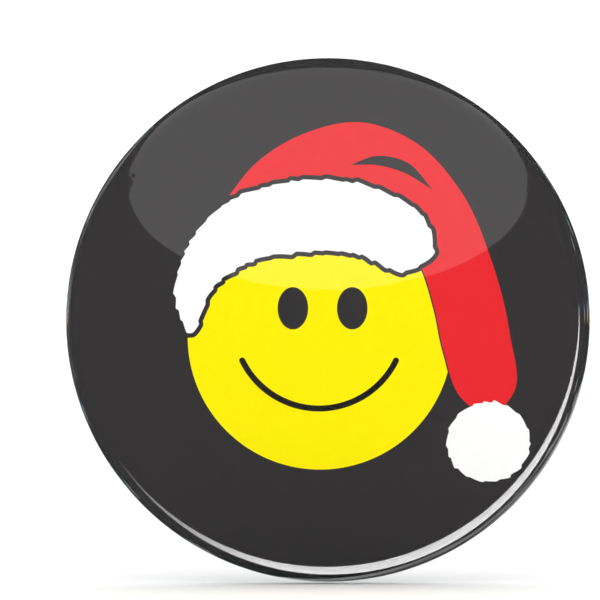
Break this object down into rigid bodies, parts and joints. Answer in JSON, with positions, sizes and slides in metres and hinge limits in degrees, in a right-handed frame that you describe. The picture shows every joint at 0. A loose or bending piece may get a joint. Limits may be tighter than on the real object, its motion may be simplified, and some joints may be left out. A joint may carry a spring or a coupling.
{
  "type": "button badge",
  "caption": "Round domed button badge with printed paper under clear film, tinplate shell, closed tinplate back and a spring pin on a diagonal hinge.",
  "frame": {"origin": "centre of the badge's bounding box, half way between the top of the dome and the rim's back plane, on the badge's axis", "axes": "worn upright: the printed face looks towards -Y, +Y points out of the back, +Z is the top of the artwork and +X is to the right seen from the front"},
  "size_m": [0.0572, 0.0082, 0.0572],
  "materials": {
    "clear_film": "clear gloss polyester film",
    "printed_paper": "printed coated paper, charcoal ground with flat yellow, red and white inks",
    "tinplate": "bright rolled tinplate with fine scratches",
    "spring_wire": "nickel-plated spring wire"
  },
  "bodies": {
    "badge": {"clear_film": "clear_film", "printed_disc": "printed_paper", "front_shell": "tinplate", "back_plate": "tinplate", "pin_spring": "spring_wire"},
    "needle": {"pin_needle": "spring_wire"}
  },
  "joints": [
    {"name": "needle_swing", "type": "hinge", "parent": "badge", "child": "needle", "pos_m": [-0.018, 0.00238, 0.004], "axis": [0, 0.7071, 0.7071], "range_deg": [0, 50]}
  ]
}
